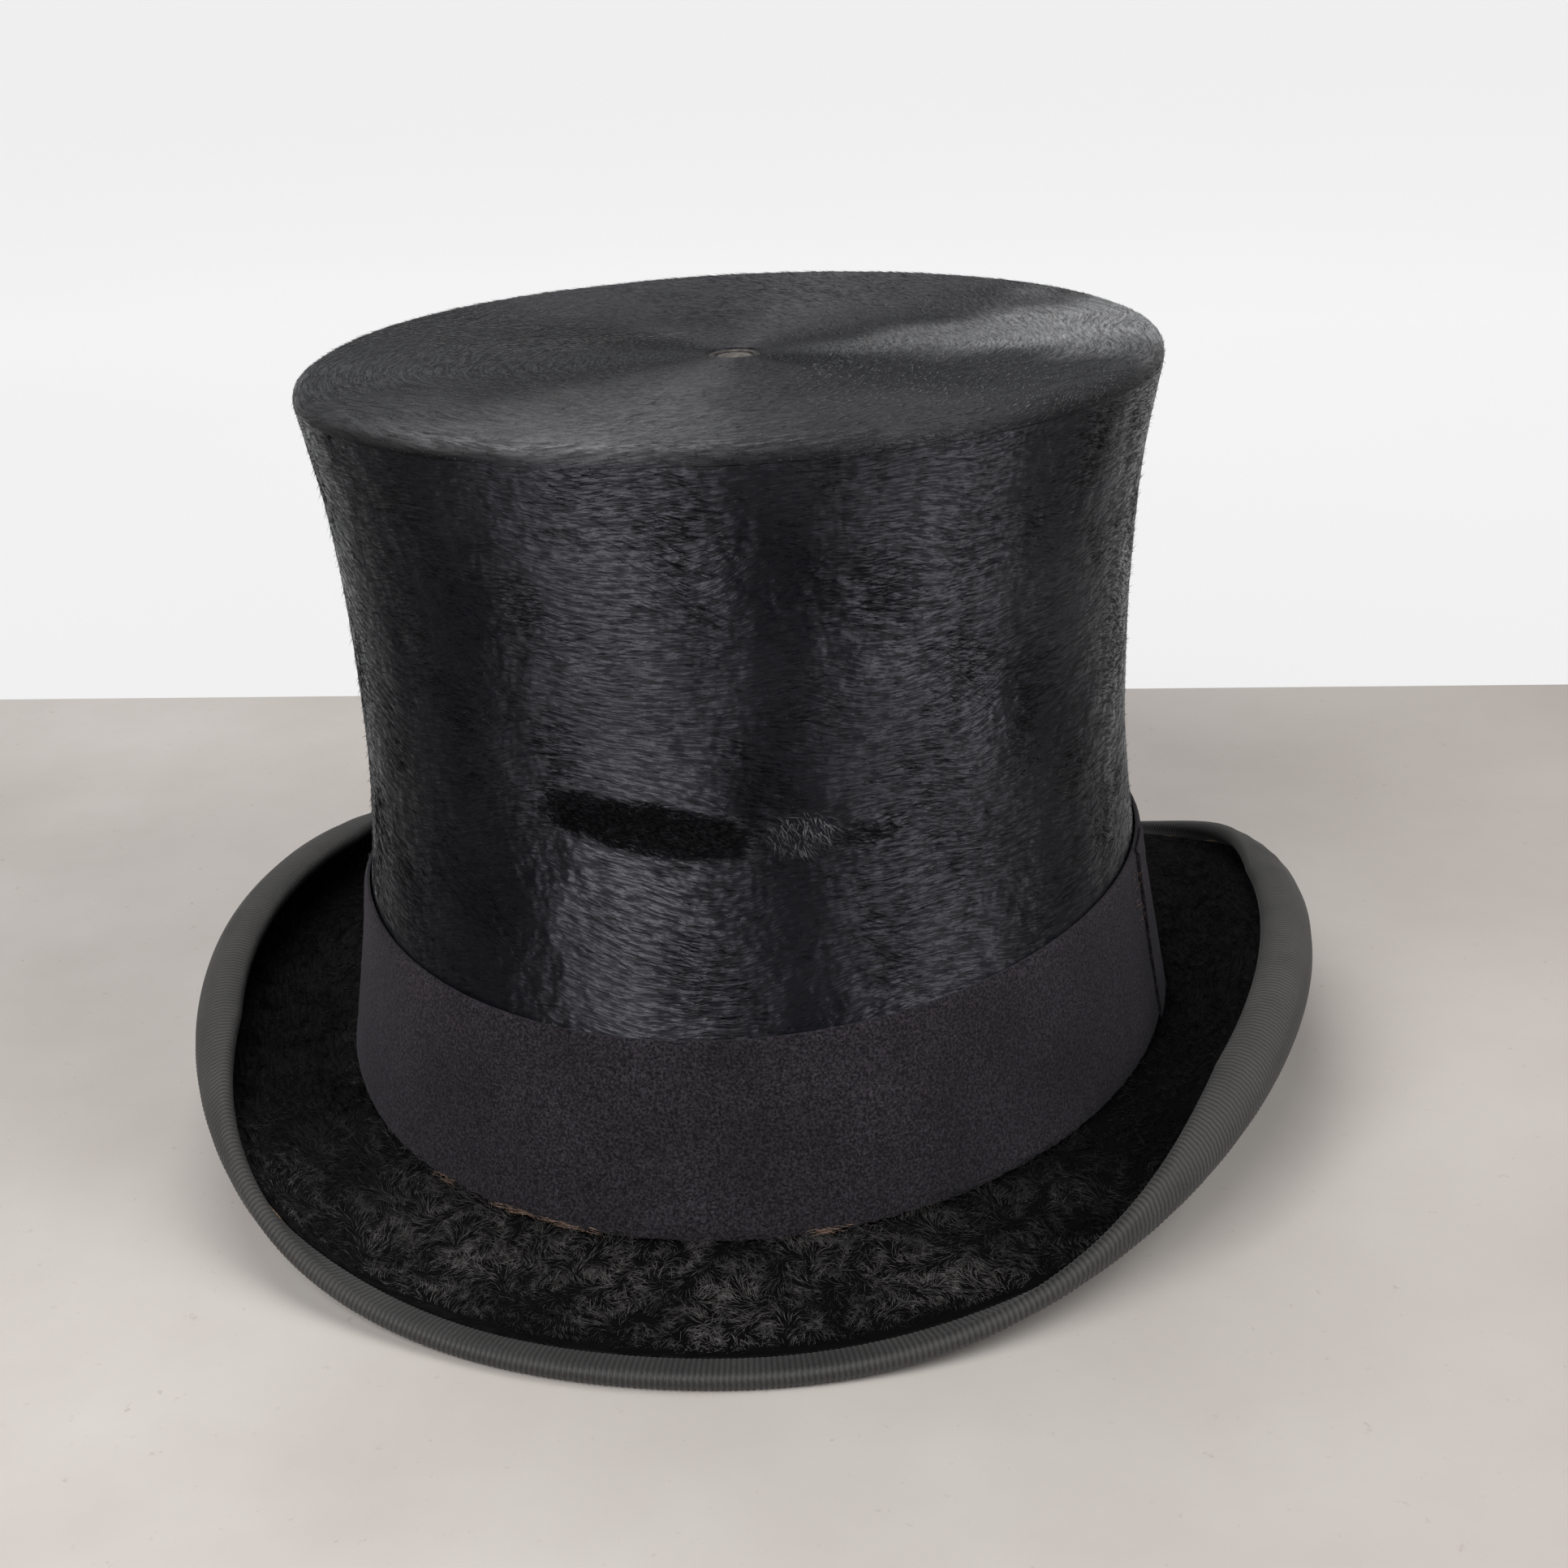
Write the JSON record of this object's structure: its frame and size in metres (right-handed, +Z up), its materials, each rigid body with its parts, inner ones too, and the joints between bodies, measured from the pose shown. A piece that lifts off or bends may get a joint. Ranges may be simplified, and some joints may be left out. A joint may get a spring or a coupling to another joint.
{
  "type": "top hat",
  "caption": "Stiff plush top hat with a flared oval crown, wide cloth band, side-curled bound brim, leather sweatband, silk lining and a small vent in the tip.",
  "frame": {"origin": "middle of the hat's footprint, on the surface that the brim rests on", "axes": "+Z up through the tip, -Y towards the front of the hat, +X to the wearer's left side, +Y the long way of the head oval"},
  "size_m": [0.2458, 0.2716, 0.1612],
  "materials": {
    "goss": "shellac-stiffened calico, amber brown, slightly glossy",
    "calico": "unbleached calico strip",
    "crown_plush": "black silk plush with a short nap brushed round the crown",
    "tip_plush": "black silk plush, nap swirled round the middle, slightly faded",
    "brim_plush": "black plush with a longer tousled pile",
    "merino": "fine black merino cloth",
    "grosgrain": "black ribbed ribbon, worn to grey",
    "wool_band": "matte charcoal wool cloth",
    "sweat_leather": "brown roan leather",
    "reed": "split cane reed",
    "bow_ribbon": "narrow black silk ribbon",
    "silk_lining": "cream silk satin",
    "vent_metal": "darkened metal flange",
    "vent_gauze": "fine woven gauze",
    "washer_metal": "plain washer"
  },
  "bodies": {
    "root": {"crown_side_shell": "goss", "crown_tip_shell": "goss", "brim_shell": "goss", "brim_joint_collar": "calico", "side_plush": "crown_plush", "tip_plush": "tip_plush", "brim_plush": "brim_plush", "underbrim_cloth": "merino", "brim_binding": "grosgrain", "hat_band": "wool_band", "hat_band_end": "wool_band", "sweatband": "sweat_leather", "sweatband_reed": "reed", "bow_knot": "bow_ribbon", "bow_loop_left": "bow_ribbon", "bow_loop_right": "bow_ribbon", "bow_tail_left": "bow_ribbon", "bow_tail_right": "bow_ribbon", "side_lining": "silk_lining", "tip_lining": "silk_lining", "vent_eyelet": "vent_metal", "vent_gauze": "vent_gauze", "vent_washer": "washer_metal"}
  },
  "joints": []
}
